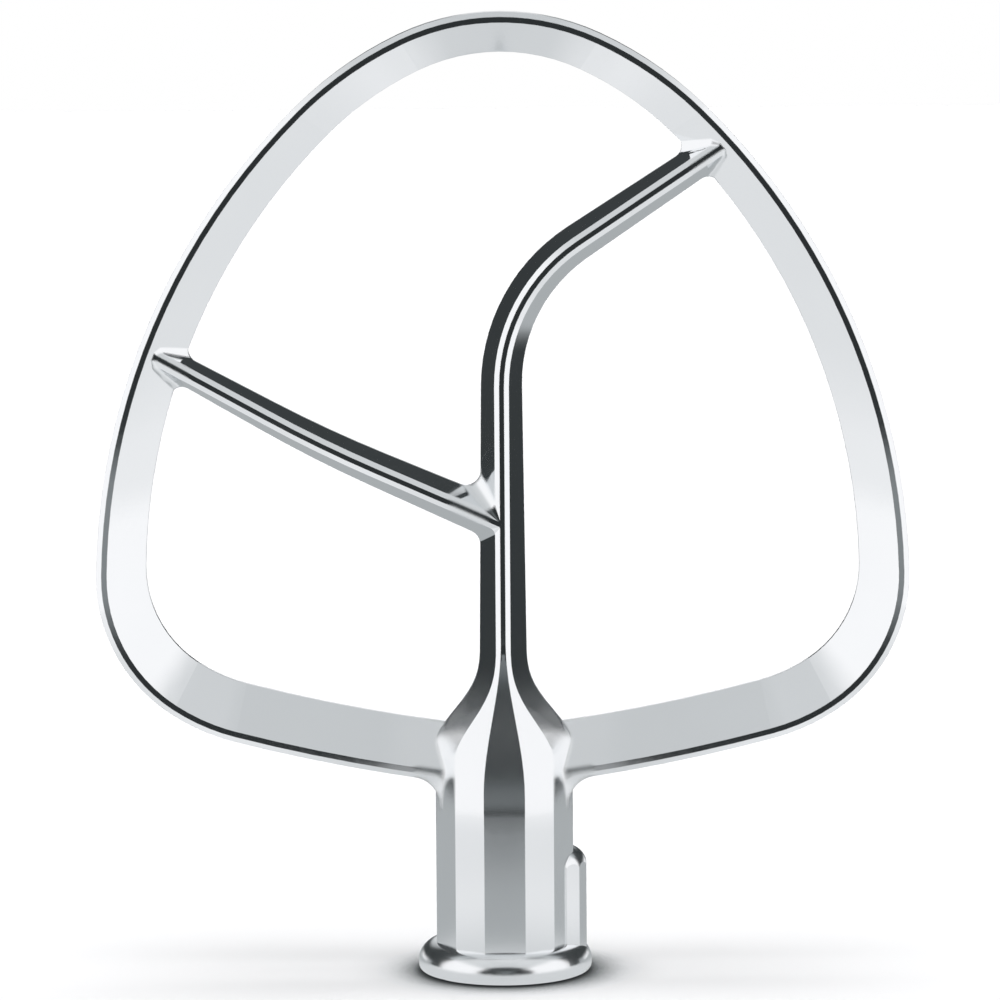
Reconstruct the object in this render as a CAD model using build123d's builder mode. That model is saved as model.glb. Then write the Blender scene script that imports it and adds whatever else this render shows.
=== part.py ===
from build123d import *
import math
import os

# Flat beater of a stand mixer: one polished steel casting that stands on the foot of its hub.
# The ring lies in the XZ plane, its front faces -Y, and the hub's axis is Z. Sizes are millimetres and degrees.

# Ring: its crest line runs from the crown down each side as tangent arcs, to two lower arms that meet on the axis
CROWN_RADIUS = 41.0
CROWN_TURN = 25.0
BROW_RADIUS = 65.0
BROW_TURN = 19.4
FLANK_RADIUS = 119.0
FLANK_TURN = 44.1
CORNER_RADIUS = 27.7
CORNER_TURN = 57.7
HEEL_RADIUS = 36.0
HEEL_TURN = 19.0
ARM_RADIUS = 310.0
ARM_SEAT = 35.2

# Ring section: two narrow flat crests near the outside, chamfered rims and long bevels to a thin inner edge
RING_DEPTH = 10.4
CREST_WIDTH = 0.97
RIM_WIDTH = 1.4
RIM_CHAMFER = 0.6
BEVEL_WIDTH = 7.2
BEVEL_LIFT = 1.5
EDGE_THICKNESS = 1.0

# Roots of the lower arms: the fillets below them, at the rim and at the crest, run down inside the hub's sides
ROOT_RIM_RADIUS = 5.2
ROOT_RIM_SINK = 0.75
ROOT_CREST_RADIUS = 2.2
ROOT_CREST_SINK = 1.4
ROOT_DROP = 5.2

# Web: stalk, upper branch and cross arm share one section of crest, shoulders and flanks
WEB_DEPTH = 9.0
WEB_CREST_WIDTH = 0.85
SHOULDER_WIDTH = 2.6
SHOULDER_SLOPE = 31.0
STALK_FOOT_WIDTH = 8.4
STALK_BEND_WIDTH = 7.0
BRANCH_RING_WIDTH = 5.6
CROSS_STALK_WIDTH = 7.2
CROSS_RING_WIDTH = 4.6

# Web layout: how far above the seat the centre lines fork, and how far round the ring from its crown they end
BRANCH_RISE = 87.0
BRANCH_TURN = 48.0
BEND_RADIUS = 30.5
CROSS_RISE = 45.9
CROSS_TURN = 68.8
CROSS_SAG = 1.6
CROSS_BOW = 240.0

# Web feet: the flared ends that sink into the ring's bevel
FOOT_REACH = 16.0
FOOT_SINK = 0.05
FOOT_THICKNESS = 1.2

# Corner radii where strips of the web meet each other and the ring, at the edge, the shoulders and the crest
FORK_EDGE_RADIUS = 2.6
FORK_SHOULDER_RADIUS = 1.5
FORK_CREST_RADIUS = 0.25
FOOT_EDGE_RADIUS = 2.2
FOOT_SHOULDER_RADIUS = 1.2
FOOT_CREST_RADIUS = 0.6

# Hub: a twelve-sided prism that flares into the stalk, with heights from the arms' seat
HUB_WIDTH = 24.6
HUB_DEPTH = 24.4
HUB_FRONT_FACET = 7.3
HUB_SHOULDER_WIDTH = 17.6
HUB_SIDE_FACET = 5.8
BELL_RISE = 24.3
BELL_SIDE_RISE = 5.8
BELL_SHOULDER_RISE = 4.1
BELL_FRONT_DROP = 1.2
BELL_DEPTH_DROP = 6.2
BELL_LEAD = 3.0
BELL_DELAY = 1.5

# Steps of the bell's loft: along the bell, in its run-in along the shank, and of that run-in what stays
BELL_STEPS = 18
BELL_RUN_IN = 5
BELL_TRIM = 2

# Collar round the mouth
COLLAR_RADIUS = 15.6
COLLAR_EDGE = 1.8
COLLAR_ROUND = 3.5
COLLAR_FOOT_ROUND = 1.0

# Socket for the drive shaft, with a keyway and a part-turn pocket for its cross pin
SOCKET_RADIUS = 6.5
SOCKET_DEPTH = 35.0
SOCKET_CHAMFER = 0.8
KEY_WIDTH = 5.0
KEY_REACH = 10.6
KEY_TOP = 19.0
LOCK_HEIGHT = 6.0
LOCK_TURN = 45.0

# Boss that thickens the wall over the keyway: faceted sides and a rounded top
BOSS_CENTRE = 9.0
BOSS_FLAT_RADIUS = 5.7
BOSS_SIDES = 13
BOSS_RADIUS = 5.9
BOSS_TOP = 22.6
BOSS_ROUND = 4.0

RING_ARCS = (
    (CROWN_RADIUS, CROWN_TURN),
    (BROW_RADIUS, BROW_TURN),
    (FLANK_RADIUS, FLANK_TURN),
    (CORNER_RADIUS, CORNER_TURN),
    (HEEL_RADIUS, HEEL_TURN),
)
ARM_TURN = sum(turn for _, turn in RING_ARCS)
CREST_LEVEL = RING_DEPTH / 2
RIM_LEVEL = CREST_LEVEL - RIM_CHAMFER
WEB_LEVEL = WEB_DEPTH / 2
EDGE_LEVEL = EDGE_THICKNESS / 2
SHOULDER_RISE = math.tan(math.radians(SHOULDER_SLOPE))
SHOULDER_LEVEL = WEB_LEVEL - (SHOULDER_WIDTH - WEB_CREST_WIDTH) / 2 * SHOULDER_RISE
BELL_TOP = ARM_SEAT + BELL_RISE
BELL_BASE = ARM_SEAT - BELL_DEPTH_DROP - BELL_LEAD


def turned(turn):
    """The direction from the centre of one of the ring's arcs to its line where that has turned by this angle."""
    return Vector(math.sin(math.radians(turn)), math.cos(math.radians(turn)))


def ring_step(inset, turn):
    """How far a ring outline runs from the crown to where its line has turned by this angle."""
    step = Vector(0, 0)
    before = 0.0
    for radius, sweep in RING_ARCS:
        after = min(before + sweep, turn)
        step += (turned(after) - turned(before)) * (radius - inset)
        before = after
    return step


def crest_apex():
    """The height of the crest line at the crown, which puts its lower arms at the seat on the axis."""
    start = ring_step(0, ARM_TURN)
    centre = start - turned(ARM_TURN) * ARM_RADIUS
    return ARM_SEAT + math.sqrt(ARM_RADIUS**2 - centre.X**2) - centre.Y


RING_APEX = crest_apex()


def ring_point(inset, lift, turn):
    """The point of a ring outline where its line has turned by this angle from the crown."""
    return Vector(0, RING_APEX - inset + lift) + ring_step(inset, turn)


def bevel_at(level):
    """Inset and lift of the ring's inner bevel at a distance from the middle plane."""
    share = (level - EDGE_LEVEL) / (CREST_LEVEL - EDGE_LEVEL)
    inset = BEVEL_WIDTH + share * (CREST_WIDTH / 2 - BEVEL_WIDTH)
    return inset, BEVEL_LIFT * (1 - share)


def opening_section(level):
    """The outline of the ring's bevelled opening at a level in front of the middle plane."""
    inset, lift = bevel_at(abs(level))
    with BuildSketch(Plane.XZ.offset(level)) as section:
        with BuildLine():
            start = Vector(0, RING_APEX - inset + lift)
            heading = Vector(1, 0)
            for radius, turn in RING_ARCS:
                arc = JernArc(start, heading, radius - inset, -turn)
                start = arc @ 1
                heading = arc % 1
            JernArc(start, heading, ARM_RADIUS - inset, Axis.Y)
            mirror(about=Plane.YZ)
        make_face()
    return section.sketch


def rim_section(level, inset, root_radius, root_sink):
    """The ring's outer outline at a level: its arms end in fillets that turn down inside the hub's sides."""
    root_side = HUB_WIDTH / 2 - root_sink
    arm_centre = ring_point(0, 0, ARM_TURN) - turned(ARM_TURN) * ARM_RADIUS
    across = root_side + root_radius - arm_centre.X
    root_turn = 180 - math.degrees(math.asin(across / (ARM_RADIUS - inset + root_radius)))
    root_foot = ARM_SEAT - ROOT_DROP
    with BuildSketch(Plane.XZ.offset(level)) as section:
        with BuildLine():
            start = Vector(0, RING_APEX - inset)
            heading = Vector(1, 0)
            for radius, turn in RING_ARCS + ((ARM_RADIUS, root_turn - ARM_TURN),):
                arc = JernArc(start, heading, radius - inset, -turn)
                start = arc @ 1
                heading = arc % 1
            root = JernArc(start, heading, root_radius, root_turn - 90)
            Polyline(root @ 1, (root_side, root_foot), (0, root_foot))
            mirror(about=Plane.YZ)
        make_face()
    return section.sketch


def meet(line, other):
    """Where two straight lines in the ring's plane, each given by two points, cross."""
    along = line[1] - line[0]
    across = other[1] - other[0]
    gap = other[0] - line[0]
    share = (gap.X * across.Y - gap.Y * across.X) / (along.X * across.Y - along.Y * across.X)
    return line[0] + along * share


def beside(along, side):
    """The direction square to a run: side is 1 on its left and -1 on its right."""
    run = along.normalized()
    return Vector(-run.Y, run.X) * side


def flank(start, end, start_half, end_half, side):
    """One side line of a tapered strip."""
    out = beside(end - start, side)
    return start + out * start_half, end + out * end_half


def foot_points(level, turn, mirrored):
    """The inner line and the two buried back corners of the foot that ends a strip in the ring's bevel."""
    inset, lift = bevel_at(level)
    middle = ring_point(inset - FOOT_SINK, lift, turn)
    outward = turned(turn)
    along = Vector(outward.Y, -outward.X)
    ends = (middle - along * (FOOT_REACH / 2), middle + along * (FOOT_REACH / 2))
    points = ends + tuple(end + outward * FOOT_THICKNESS for end in ends)
    if mirrored:
        points = tuple(Vector(-point.X, point.Y) for point in points)
    return points


def web_section(level, widths, fork_radius, foot_radius):
    """The web's outline at one level: stalk, bent upper branch and bowed cross arm, with rounded corners."""
    stalk_foot, stalk_bend, branch_ring, cross_stalk, cross_ring = (width / 2 for width in widths)
    cross_knee = (cross_stalk + cross_ring) / 2
    base = Vector(0, BELL_TOP)
    fork = Vector(0, ARM_SEAT + BRANCH_RISE)
    branch_end = ring_point(0, 0, BRANCH_TURN)
    cross_start = Vector(0, ARM_SEAT + CROSS_RISE)
    cross_end = Vector(-ring_point(0, 0, CROSS_TURN).X, ring_point(0, 0, CROSS_TURN).Y)
    knee = (cross_start + cross_end) / 2 + beside(cross_end - cross_start, 1) * CROSS_SAG

    stalk_left = flank(base, fork, stalk_foot, stalk_bend, 1)
    stalk_right = flank(base, fork, stalk_foot, stalk_bend, -1)
    branch_over = flank(fork, branch_end, stalk_bend, branch_ring, 1)
    branch_under = flank(fork, branch_end, stalk_bend, branch_ring, -1)
    cross_under_in = flank(cross_start, knee, cross_stalk, cross_knee, 1)
    cross_under_out = flank(knee, cross_end, cross_knee, cross_ring, 1)
    cross_over_in = flank(cross_start, knee, cross_stalk, cross_knee, -1)
    cross_over_out = flank(knee, cross_end, cross_knee, cross_ring, -1)
    cross_high, cross_low, cross_high_back, cross_low_back = foot_points(abs(level), CROSS_TURN, True)
    branch_high, branch_low, branch_high_back, branch_low_back = foot_points(abs(level), BRANCH_TURN, False)
    cross_foot = (cross_high, cross_low)
    branch_foot = (branch_high, branch_low)

    corners = (
        (stalk_left[0], 0),
        (meet(stalk_left, cross_under_in), fork_radius),
        (meet(cross_under_in, cross_under_out), CROSS_BOW + cross_knee),
        (meet(cross_under_out, cross_foot), foot_radius),
        (cross_low, 0),
        (cross_low_back, 0),
        (cross_high_back, 0),
        (cross_high, 0),
        (meet(cross_foot, cross_over_out), foot_radius),
        (meet(cross_over_out, cross_over_in), CROSS_BOW - cross_knee),
        (meet(cross_over_in, stalk_left), fork_radius),
        (meet(stalk_left, branch_over), BEND_RADIUS + stalk_bend),
        (meet(branch_over, branch_foot), foot_radius),
        (branch_high, 0),
        (branch_high_back, 0),
        (branch_low_back, 0),
        (branch_low, 0),
        (meet(branch_foot, branch_under), foot_radius),
        (meet(branch_under, stalk_right), BEND_RADIUS - stalk_bend),
        (stalk_right[0], 0),
    )
    with BuildSketch(Plane.XZ.offset(level)) as section:
        with BuildLine():
            FilletPolyline([point for point, _ in corners], radius=[radius for _, radius in corners], close=True)
        make_face()
    return section.sketch


def between(start, end, share):
    """The value a share of the way from start to end."""
    return start + (end - start) * share


def flare(height, foot, delay=1.0):
    """How far the bell has opened at a height: 0 at its top, 1 at and below its foot."""
    share = min(1.0, (BELL_TOP - height) / (BELL_TOP - foot)) ** delay
    return share * share * (3 - 2 * share)


def hub_section(height):
    """The twelve-sided section of hub and bell at a height, alike on both sides: each facet opens on its own."""
    front = flare(height, ARM_SEAT - BELL_FRONT_DROP)
    depth = flare(height, ARM_SEAT - BELL_DEPTH_DROP)
    shoulder = flare(height, ARM_SEAT + BELL_SHOULDER_RISE, BELL_DELAY)
    side = flare(height, ARM_SEAT + BELL_SIDE_RISE, BELL_DELAY)
    front_half = between(WEB_CREST_WIDTH, HUB_FRONT_FACET, front) / 2
    front_level = between(WEB_DEPTH, HUB_DEPTH, depth) / 2
    shoulder_half = between(SHOULDER_WIDTH, HUB_SHOULDER_WIDTH, shoulder) / 2
    shoulder_level = front_level - (shoulder_half - front_half) * SHOULDER_RISE
    side_half = between(STALK_FOOT_WIDTH, HUB_WIDTH, side) / 2
    side_level = between(EDGE_THICKNESS, HUB_SIDE_FACET, front) / 2
    quarter = ((side_half, side_level), (shoulder_half, shoulder_level), (front_half, front_level))
    half = quarter + tuple((-x, y) for x, y in reversed(quarter))
    with BuildSketch(Plane.XY.offset(height)) as section:
        with BuildLine():
            Polyline(half + tuple((-x, -y) for x, y in half), close=True)
        make_face()
    return section.sketch


# The ring: a solid plate with chamfered rim, less the bevelled opening
rim_values = (-RIM_WIDTH, ROOT_RIM_RADIUS, ROOT_RIM_SINK)
crest_values = (-CREST_WIDTH / 2, ROOT_CREST_RADIUS, ROOT_CREST_SINK)
rim_sections = (
    rim_section(CREST_LEVEL, *crest_values),
    rim_section(RIM_LEVEL, *rim_values),
    rim_section(-RIM_LEVEL, *rim_values),
    rim_section(-CREST_LEVEL, *crest_values),
)
past_crest = CREST_LEVEL + RIM_CHAMFER
opening_levels = (past_crest, EDGE_LEVEL, -EDGE_LEVEL, -past_crest)
with BuildPart() as ring:
    loft(rim_sections, ruled=True)
    loft([opening_section(level) for level in opening_levels], ruled=True, mode=Mode.SUBTRACT)

# The web inside the ring
edge_widths = (STALK_FOOT_WIDTH, STALK_BEND_WIDTH, BRANCH_RING_WIDTH, CROSS_STALK_WIDTH, CROSS_RING_WIDTH)
shoulder_widths = (SHOULDER_WIDTH,) * len(edge_widths)
crest_widths = (WEB_CREST_WIDTH,) * len(edge_widths)
web_levels = (
    (WEB_LEVEL, crest_widths, FORK_CREST_RADIUS, FOOT_CREST_RADIUS),
    (SHOULDER_LEVEL, shoulder_widths, FORK_SHOULDER_RADIUS, FOOT_SHOULDER_RADIUS),
    (EDGE_LEVEL, edge_widths, FORK_EDGE_RADIUS, FOOT_EDGE_RADIUS),
)
front_sections = [web_section(*values) for values in web_levels]
back_sections = [web_section(-level, *values) for level, *values in reversed(web_levels)]
with BuildPart() as web:
    loft(front_sections + back_sections, ruled=True)

# The boss, faceted like the hub, stands on the collar's edge
with BuildPart() as boss:
    with BuildSketch(Plane.XZ):
        with BuildLine():
            wall = Line((BOSS_RADIUS, COLLAR_EDGE), (BOSS_RADIUS, BOSS_TOP - BOSS_ROUND))
            dome = JernArc(wall @ 1, wall % 1, BOSS_ROUND, 90)
            Polyline(dome @ 1, (0, BOSS_TOP), (0, COLLAR_EDGE), wall @ 0)
        make_face()
    revolve(axis=Axis.Z)
    with BuildSketch(Plane.XY):
        RegularPolygon(BOSS_FLAT_RADIUS, BOSS_SIDES, major_radius=False, rotation=180 / BOSS_SIDES)
    extrude(amount=BOSS_TOP, mode=Mode.INTERSECT)

# The hub: the bell's loft starts below its foot and is trimmed there, so that it runs straight into the shank
bell_step = (BELL_TOP - BELL_BASE) / BELL_STEPS
shank_top = BELL_BASE - BELL_TRIM * bell_step
with BuildPart() as hub:
    loft([hub_section(BELL_BASE + step * bell_step) for step in range(-BELL_RUN_IN, BELL_STEPS + 1)])
    split(bisect_by=Plane.XY.offset(shank_top), keep=Keep.TOP)
    extrude(hub_section(0), amount=shank_top)
    with Locations((BOSS_CENTRE, 0)):
        add(boss.part)
    with BuildSketch(Plane.XZ):
        with BuildLine():
            foot = Line((0, 0), (COLLAR_RADIUS - COLLAR_FOOT_ROUND, 0))
            heel = JernArc(foot @ 1, foot % 1, COLLAR_FOOT_ROUND, 90)
            edge = Line(heel @ 1, (COLLAR_RADIUS, COLLAR_EDGE))
            crown = JernArc(edge @ 1, edge % 1, COLLAR_ROUND, 90)
            Polyline(crown @ 1, (0, COLLAR_EDGE + COLLAR_ROUND), (0, 0))
        make_face()
    revolve(axis=Axis.Z)

# The casting: ring, web and hub in one, then the socket
with BuildPart() as flat_beater:
    add(ring.part)
    add(web.part)
    add(hub.part)
    with BuildSketch(Plane.XY):
        Circle(SOCKET_RADIUS)
    extrude(amount=SOCKET_DEPTH, mode=Mode.SUBTRACT)
    circles = flat_beater.edges().filter_by(GeomType.CIRCLE)
    socket_ends = circles.filter_by(lambda edge: edge.radius == SOCKET_RADIUS).sort_by(Axis.Z)
    chamfer(socket_ends[0], SOCKET_CHAMFER)
    with BuildSketch(Plane.XY):
        Rectangle(KEY_REACH, KEY_WIDTH, align=(Align.MIN, Align.CENTER))
    extrude(amount=KEY_TOP, mode=Mode.SUBTRACT)
    with BuildSketch(Plane.XZ):
        with Locations((0, KEY_TOP)):
            Rectangle(KEY_REACH, LOCK_HEIGHT, align=(Align.MIN, Align.MAX))
    revolve(axis=Axis.Z, revolution_arc=-LOCK_TURN, mode=Mode.SUBTRACT)

flat_beater.part.label = "flat_beater"
os.makedirs("parts", exist_ok=True)
export_step(flat_beater.part, "parts/flat_beater.step")
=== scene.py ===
import math

import bpy
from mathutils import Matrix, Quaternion, Vector

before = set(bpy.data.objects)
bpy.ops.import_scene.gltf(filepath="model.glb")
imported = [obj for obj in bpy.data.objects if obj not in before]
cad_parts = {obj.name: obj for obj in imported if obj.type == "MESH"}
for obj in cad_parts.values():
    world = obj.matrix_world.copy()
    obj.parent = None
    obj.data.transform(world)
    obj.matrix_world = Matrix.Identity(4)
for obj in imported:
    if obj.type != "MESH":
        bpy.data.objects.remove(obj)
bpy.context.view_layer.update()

# Camera: where it stands, what it aims at and how it leans, in metres and degrees
CAMERA_AT = Vector((0.0, -0.85, 0.188))
CAMERA_AIM = Vector((-0.0004, 0.0, 0.0852))
CAMERA_ROLL = 0.4
FOCAL_LENGTH = 172.4
SENSOR_WIDTH = 36.0

# Steel: colour of the polished surface and of its duller patches, and how far its roughness varies
STEEL_COLOUR = (0.945, 0.958, 0.97, 1.0)
STEEL_DULL = (0.905, 0.918, 0.93, 1.0)
ROUGHNESS = (0.03, 0.08)
HUB_ROUGHNESS = (0.16, 0.22)
WAVE_HEIGHT = 0.000004

# Noise in the steel, as fineness and detail: duller patches, grain of the polish and waves left by the wheel
PATCHES = (60.0, 4.0)
GRAIN = (900.0, 3.0)
WAVES = (220.0, 2.0)

# The hub, ground to a satin finish: half its width and its height, in metres, and how softly that ends
HUB_HALF = 0.016
HUB_HEIGHT = 0.05
HUB_BLEND = 0.008

# Edges of the casting, rounded by the polish, in metres, and how finely that is sampled
EDGE_ROUND = 0.00012
EDGE_SAMPLES = 4

# Softer corners, as place across, height, reach across, reach in height and radius, in metres: both lower
# arms at the hub, the fork, the foot of the cross arm and the foot of the branch
CORNERS = (
    (0.0122, 0.037, 0.0045, 0.0115, 0.0014),
    (-0.0122, 0.037, 0.0045, 0.0115, 0.0014),
    (-0.0052, 0.0862, 0.0052, 0.0062, 0.0009),
    (-0.0588, 0.1092, 0.0042, 0.006, 0.0005),
    (0.037, 0.1456, 0.0042, 0.0052, 0.0005),
)

# Share of a corner's squared reach within which it has its full radius
CORNER_CORE = 0.4

# Studio as the metal sees it: brightness by angle from the front, level with the object, a little higher,
# well above it, overhead and below it
STUDIO_SIDES = (
    (180, 0.05), (162, 0.06), (150, 0.9), (134, 0.8), (128, 0.44), (119, 0.42), (115.5, 0.045), (99, 0.04),
    (92, 1.0), (40, 1.0), (32, 0.03), (0, 0.03),
)
STUDIO_RAISED = ((180, 0.3), (172, 0.05), (99, 0.04), (92, 1.0), (40, 1.0), (32, 0.03), (0, 0.03))
STUDIO_ABOVE = (
    (180, 0.8), (165, 0.6), (142, 0.05), (99, 0.045), (90, 0.66), (44, 0.66), (37, 0.04), (30, 0.04),
    (22, 0.06), (15, 0.14), (7, 0.18), (0, 0.2),
)
STUDIO_OVERHEAD = (
    (180, 0.8), (140, 0.7), (76, 0.6), (44, 0.6), (37, 0.04), (30, 0.04), (22, 0.06), (15, 0.14), (7, 0.18),
    (0, 0.2),
)
STUDIO_BELOW = ((180, 0.5), (112, 0.46), (92, 0.5), (82, 0.95), (40, 0.95), (32, 0.03), (0, 0.03))

# How steeply a direction rises where each of the others takes over, as start and end of its fade
STUDIO_HEIGHTS = (
    (STUDIO_RAISED, 0.1, 0.3),
    (STUDIO_ABOVE, 0.6, 0.85),
    (STUDIO_OVERHEAD, 0.935, 0.985),
    (STUDIO_BELOW, -0.3, -0.6),
)

# Glowing sheet that the metal alone sees as the white floor near the object, in metres: painted light across
# it, dimmed in the middle by the object's painted shadow, painted shade behind the object and in the strip
# before the hub, and where it ends
PAINTED_FLOOR_LIGHT_ACROSS = (
    (0.0, 0.67), (0.03, 0.68), (0.05, 0.8), (0.068, 0.87), (0.085, 0.82), (0.11, 0.78), (0.15, 0.79),
    (0.19, 0.88), (0.3, 0.92),
)
PAINTED_SHADE_BEHIND = 0.44
PAINTED_SHADE_STRIP = (
    (0.0, 0.41), (0.1, 0.41), (0.112, 0.38), (0.132, 0.23), (0.154, 0.12), (0.2, 0.15), (0.4, 0.3),
)
STRIP_INNER = 0.008
STRIP_OUTER = 0.02
STRIP_START = 0.036
STRIP_FULL = 0.046
STRIP_FADE = 0.36
STRIP_END = 0.39
BEHIND_FULL = 0.015
TABLE_RADIUS = 0.3
TABLE_FADE = 0.25
TABLE_FRONT_FADE = 0.19
TABLE_FRONT = 0.23
TABLE_REACH = 1.0
TABLE_HEIGHT = -0.0001

# Grey cards further out on either side of the floor, which only the ring's crest sees: level, inner and
# outer edge across, near and far edge, each as start and end of its fade
CARD_LEVEL = 0.25
CARD_INNER = (0.07, 0.095)
CARD_OUTER = (0.19, 0.16)
CARD_NEAR = (0.38, 0.5)
CARD_FAR = (0.95, 0.75)

# Floor as the camera sees it, in metres: reach and height, painted contact shadow and white fill
FLOOR_REACH = 4.0
FLOOR_HEIGHT = -0.0002
SHADOW_REACH = 0.014
SHADOW_SAMPLES = 8
SHADOW_STOPS = ((0.0, 0.03), (0.58, 0.06), (0.74, 0.25), (0.86, 0.78), (0.95, 0.97), (1.0, 1.0))
FLOOR_FILL = 0.08

# Soft light over the floor: how high it starts, as the sine of the angle above the horizon, and its strength
DOME_START = 0.7
DOME_STRENGTH = 3.663

# Tint of the greys: share of red in the dark, and of blue in the dark and in the light
DARK_RED = 0.86
DARK_BLUE = 1.05
LIGHT_BLUE = 1.01
WHITE = (1.0, 1.0, 1.0, 1.0)


def cool(value):
    """A grey that leans to blue where it is dark."""
    root = math.sqrt(value)
    red = DARK_RED + (1.0 - DARK_RED) * root
    blue = DARK_BLUE + (LIGHT_BLUE - DARK_BLUE) * root
    return (value * red, value, value * blue, 1.0)


def number(tree, operation, first, second=None):
    """A maths node on a value, and on a second value or a number."""
    node = tree.nodes.new("ShaderNodeMath")
    node.operation = operation
    tree.links.new(first, node.inputs[0])
    if isinstance(second, (int, float)):
        node.inputs[1].default_value = second
    elif second is not None:
        tree.links.new(second, node.inputs[1])
    return node.outputs["Value"]


def ramp(tree, value, stops):
    """Brightness by position along a colour ramp."""
    node = tree.nodes.new("ShaderNodeValToRGB")
    elements = node.color_ramp.elements
    elements.remove(elements[-1])
    for index, (position, brightness) in enumerate(sorted(stops)):
        element = elements[0] if index == 0 else elements.new(position)
        element.position = position
        element.color = cool(brightness)
    tree.links.new(value, node.inputs["Fac"])
    return node.outputs["Color"]


def fade(tree, value, start, end):
    """Goes smoothly from 0 to 1 as the value goes from start to end."""
    node = tree.nodes.new("ShaderNodeMapRange")
    node.interpolation_type = "SMOOTHSTEP"
    node.inputs["From Min"].default_value = start
    node.inputs["From Max"].default_value = end
    tree.links.new(value, node.inputs["Value"])
    return node.outputs["Result"]


def blend(tree, share, base, other):
    """Goes over from one colour to another."""
    node = tree.nodes.new("ShaderNodeMix")
    node.data_type = "RGBA"
    tree.links.new(share, node.inputs["Factor"])
    for colour, socket in ((base, node.inputs["A"]), (other, node.inputs["B"])):
        if isinstance(colour, tuple):
            socket.default_value = colour
        else:
            tree.links.new(colour, socket)
    return node.outputs["Result"]


def object_place(tree):
    """The object coordinates of the shaded point, whole and split."""
    place = tree.nodes.new("ShaderNodeTexCoord").outputs["Object"]
    split = tree.nodes.new("ShaderNodeSeparateXYZ")
    tree.links.new(place, split.inputs["Vector"])
    return place, split.outputs["X"], split.outputs["Y"], split.outputs["Z"]


def empty_material(name):
    """A material with only an output node."""
    material = bpy.data.materials.new(name)
    material.use_nodes = True
    material.node_tree.nodes.clear()
    output = material.node_tree.nodes.new("ShaderNodeOutputMaterial")
    return material, material.node_tree, output.inputs["Surface"]


def scale(tree, value, low, high):
    """Takes a value from 0 to 1 to one between two numbers."""
    node = tree.nodes.new("ShaderNodeMapRange")
    node.inputs["To Min"].default_value = low
    node.inputs["To Max"].default_value = high
    tree.links.new(value, node.inputs["Value"])
    return node.outputs["Result"]


def noise(tree, place, fineness, detail):
    """A noise texture's factor."""
    node = tree.nodes.new("ShaderNodeTexNoise")
    node.inputs["Scale"].default_value = fineness
    node.inputs["Detail"].default_value = detail
    tree.links.new(place, node.inputs["Vector"])
    return node.outputs["Fac"]


def steel_material():
    """Polished cast steel: rounded edges, faint waves from the wheel, duller patches, uneven polish."""
    material, tree, surface = empty_material("polished_steel")
    shader = tree.nodes.new("ShaderNodeBsdfPrincipled")
    shader.inputs["Metallic"].default_value = 1.0
    place, across, _, height = object_place(tree)
    patches = noise(tree, place, *PATCHES)
    tree.links.new(blend(tree, patches, STEEL_DULL, STEEL_COLOUR), shader.inputs["Base Color"])

    grain = noise(tree, place, *GRAIN)
    beside = number(tree, "ABSOLUTE", across)
    hub = number(
        tree, "MULTIPLY", fade(tree, beside, HUB_HALF + HUB_BLEND, HUB_HALF),
        fade(tree, height, HUB_HEIGHT + HUB_BLEND, HUB_HEIGHT),
    )
    rough = tree.nodes.new("ShaderNodeMix")
    tree.links.new(hub, rough.inputs["Factor"])
    tree.links.new(scale(tree, grain, *ROUGHNESS), rough.inputs["A"])
    tree.links.new(scale(tree, grain, *HUB_ROUGHNESS), rough.inputs["B"])
    tree.links.new(rough.outputs["Result"], shader.inputs["Roughness"])

    rounding = None
    for corner_across, corner_height, wide, tall, radius in CORNERS:
        out = number(tree, "DIVIDE", number(tree, "SUBTRACT", across, corner_across), wide)
        up = number(tree, "DIVIDE", number(tree, "SUBTRACT", height, corner_height), tall)
        apart = number(tree, "ADD", number(tree, "MULTIPLY", out, out), number(tree, "MULTIPLY", up, up))
        soft = scale(tree, fade(tree, apart, 1.0, CORNER_CORE), EDGE_ROUND, radius)
        rounding = soft if rounding is None else number(tree, "MAXIMUM", rounding, soft)
    edges = tree.nodes.new("ShaderNodeBevel")
    edges.samples = EDGE_SAMPLES
    tree.links.new(rounding, edges.inputs["Radius"])

    waves = tree.nodes.new("ShaderNodeBump")
    waves.inputs["Distance"].default_value = WAVE_HEIGHT
    tree.links.new(noise(tree, place, *WAVES), waves.inputs["Height"])
    tree.links.new(edges.outputs["Normal"], waves.inputs["Normal"])
    tree.links.new(waves.outputs["Normal"], shader.inputs["Normal"])
    tree.links.new(shader.outputs["BSDF"], surface)
    return material


def floor_material():
    """White floor with the object's shadow, cast and painted, lifted a little for the camera, and clear from
    below.
    """
    material, tree, surface = empty_material("floor_white")
    shader = tree.nodes.new("ShaderNodeBsdfDiffuse")
    contact = tree.nodes.new("ShaderNodeAmbientOcclusion")
    contact.samples = SHADOW_SAMPLES
    contact.inputs["Distance"].default_value = SHADOW_REACH
    # Painted contact shadow: occlusion near the object darkens the floor's colour and its white camera fill.
    tree.links.new(ramp(tree, contact.outputs["AO"], SHADOW_STOPS), shader.inputs["Color"])
    fill = tree.nodes.new("ShaderNodeEmission")
    rays = tree.nodes.new("ShaderNodeLightPath")
    lift = number(tree, "MULTIPLY", rays.outputs["Is Camera Ray"], FLOOR_FILL)
    tree.links.new(number(tree, "MULTIPLY", lift, contact.outputs["AO"]), fill.inputs["Strength"])
    both = tree.nodes.new("ShaderNodeAddShader")
    tree.links.new(shader.outputs["BSDF"], both.inputs[0])
    tree.links.new(fill.outputs["Emission"], both.inputs[1])
    clear = tree.nodes.new("ShaderNodeBsdfTransparent")
    side = tree.nodes.new("ShaderNodeMixShader")
    tree.links.new(tree.nodes.new("ShaderNodeNewGeometry").outputs["Backfacing"], side.inputs["Fac"])
    tree.links.new(both.outputs["Shader"], side.inputs[1])
    tree.links.new(clear.outputs["BSDF"], side.inputs[2])
    tree.links.new(side.outputs["Shader"], surface)
    return material


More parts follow.
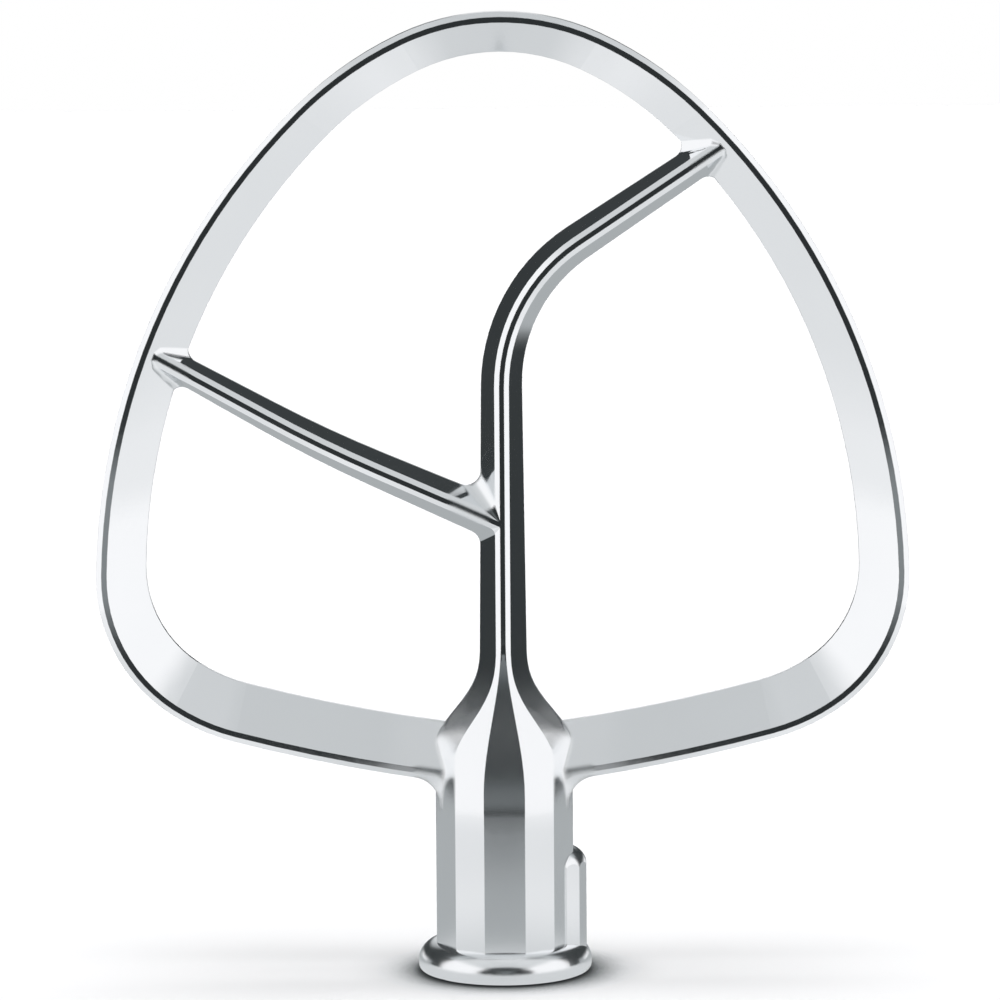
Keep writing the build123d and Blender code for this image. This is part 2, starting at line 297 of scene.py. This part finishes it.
def painted_floor_material():
    """Glowing floor for the metal alone: painted shade before and behind the hub, gone further out."""
    material, tree, surface = empty_material("painted_floor_glow")
    place, across, deep, _ = object_place(tree)
    beside = number(tree, "ABSOLUTE", across)
    before = number(tree, "MULTIPLY", deep, -1.0)
    # Painted shade: the object's shadow dims the middle of the sheet, behind the object and a strip before
    # the hub.
    level = ramp(tree, beside, PAINTED_FLOOR_LIGHT_ACROSS)
    level = blend(tree, fade(tree, deep, 0.0, BEHIND_FULL), level, cool(PAINTED_SHADE_BEHIND))
    painted_shade_strip = number(
        tree, "MULTIPLY", fade(tree, beside, STRIP_OUTER, STRIP_INNER),
        fade(tree, before, STRIP_START, STRIP_FULL),
    )
    painted_shade_strip = number(tree, "MULTIPLY", painted_shade_strip, fade(tree, before, STRIP_END, STRIP_FADE))
    level = blend(tree, painted_shade_strip, level, ramp(tree, before, PAINTED_SHADE_STRIP))
    card = number(tree, "MULTIPLY", fade(tree, beside, *CARD_INNER), fade(tree, beside, *CARD_OUTER))
    card = number(tree, "MULTIPLY", card, fade(tree, before, *CARD_NEAR))
    card = number(tree, "MULTIPLY", card, fade(tree, before, *CARD_FAR))
    level = blend(tree, fade(tree, before, TABLE_FRONT, CARD_NEAR[0]), level, cool(CARD_LEVEL))
    glow = tree.nodes.new("ShaderNodeEmission")
    tree.links.new(level, glow.inputs["Color"])
    clear = tree.nodes.new("ShaderNodeBsdfTransparent")
    length = tree.nodes.new("ShaderNodeVectorMath")
    length.operation = "LENGTH"
    tree.links.new(place, length.inputs[0])
    near = number(
        tree, "MULTIPLY", fade(tree, length.outputs["Value"], TABLE_RADIUS, TABLE_FADE),
        fade(tree, before, TABLE_FRONT, TABLE_FRONT_FADE),
    )
    whole = tree.nodes.new("ShaderNodeMixShader")
    shown = number(tree, "MAXIMUM", number(tree, "MAXIMUM", near, painted_shade_strip), card)
    tree.links.new(shown, whole.inputs["Fac"])
    tree.links.new(clear.outputs["BSDF"], whole.inputs[1])
    tree.links.new(glow.outputs["Emission"], whole.inputs[2])
    tree.links.new(whole.outputs["Shader"], surface)
    return material


def studio_world():
    """White for the camera, soft light from above for the floor, soft boxes and dark flags for the metal."""
    world = bpy.data.worlds.new("studio")
    bpy.context.scene.world = world
    world.use_nodes = True
    tree = world.node_tree
    tree.nodes.clear()
    output = tree.nodes.new("ShaderNodeOutputWorld")
    place = tree.nodes.new("ShaderNodeTexCoord").outputs["Generated"]
    split = tree.nodes.new("ShaderNodeSeparateXYZ")
    tree.links.new(place, split.inputs["Vector"])
    rays = tree.nodes.new("ShaderNodeLightPath")
    dome = tree.nodes.new("ShaderNodeBackground")
    lamp = number(tree, "MULTIPLY", fade(tree, split.outputs["Z"], DOME_START, 1.0), DOME_STRENGTH)
    tree.links.new(lamp, dome.inputs["Strength"])
    studio = tree.nodes.new("ShaderNodeBackground")
    white = tree.nodes.new("ShaderNodeBackground")
    for background in (dome, white):
        background.inputs["Color"].default_value = WHITE
    lit = tree.nodes.new("ShaderNodeMixShader")
    tree.links.new(rays.outputs["Is Glossy Ray"], lit.inputs["Fac"])
    tree.links.new(dome.outputs["Background"], lit.inputs[1])
    tree.links.new(studio.outputs["Background"], lit.inputs[2])
    seen = tree.nodes.new("ShaderNodeMixShader")
    tree.links.new(rays.outputs["Is Camera Ray"], seen.inputs["Fac"])
    tree.links.new(lit.outputs["Shader"], seen.inputs[1])
    tree.links.new(white.outputs["Background"], seen.inputs[2])
    tree.links.new(seen.outputs["Shader"], output.inputs["Surface"])
    front = tree.nodes.new("ShaderNodeMapRange")
    front.inputs["From Min"].default_value = 1.0
    front.inputs["From Max"].default_value = -1.0
    tree.links.new(split.outputs["Y"], front.inputs["Value"])

    # How steeply a direction rises, seen from the front with its depth left out
    flat = tree.nodes.new("ShaderNodeVectorMath")
    flat.operation = "MULTIPLY"
    flat.inputs[1].default_value = (1.0, 0.0, 1.0)
    tree.links.new(place, flat.inputs[0])
    turned = tree.nodes.new("ShaderNodeVectorMath")
    turned.operation = "NORMALIZE"
    tree.links.new(flat.outputs["Vector"], turned.inputs[0])
    climb = tree.nodes.new("ShaderNodeSeparateXYZ")
    tree.links.new(turned.outputs["Vector"], climb.inputs["Vector"])
    rise = climb.outputs["Z"]

    def by_angle(stops):
        """Brightness by angle from the front."""
        places = [((1 + math.cos(math.radians(turn))) / 2, level) for turn, level in stops]
        return ramp(tree, front.outputs["Result"], places)

    light = by_angle(STUDIO_SIDES)
    for stops, start, end in STUDIO_HEIGHTS:
        light = blend(tree, fade(tree, rise, start, end), light, by_angle(stops))
    tree.links.new(light, studio.inputs["Color"])


def make_plane(name, reach, height, material):
    """A level square round the origin."""
    mesh = bpy.data.meshes.new(name)
    sides = ((-1, -1), (1, -1), (1, 1), (-1, 1))
    corners = [(reach * across, reach * deep, height) for across, deep in sides]
    mesh.from_pydata(corners, [], [(0, 1, 2, 3)])
    piece = bpy.data.objects.new(name, mesh)
    bpy.context.scene.collection.objects.link(piece)
    mesh.materials.append(material)
    return piece


def make_camera():
    """The photograph's view."""
    data = bpy.data.cameras.new("camera")
    data.lens = FOCAL_LENGTH
    data.sensor_width = SENSOR_WIDTH
    camera = bpy.data.objects.new("camera", data)
    bpy.context.scene.collection.objects.link(camera)
    camera.rotation_mode = "QUATERNION"
    camera.location = CAMERA_AT
    look = (CAMERA_AIM - CAMERA_AT).to_track_quat("-Z", "Y")
    camera.rotation_quaternion = look @ Quaternion((0.0, 0.0, 1.0), math.radians(-CAMERA_ROLL))
    bpy.context.scene.camera = camera


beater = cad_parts["flat_beater"]
beater.data.materials.clear()
beater.data.materials.append(steel_material())
floor = make_plane("floor", FLOOR_REACH, FLOOR_HEIGHT, floor_material())
floor.visible_glossy = False
painted_floor_sheet = make_plane("painted_floor_glow", TABLE_REACH, TABLE_HEIGHT, painted_floor_material())
painted_floor_sheet.visible_camera = False
painted_floor_sheet.visible_diffuse = False
painted_floor_sheet.visible_shadow = False
studio_world()
make_camera()
bpy.context.scene.view_settings.view_transform = "Standard"
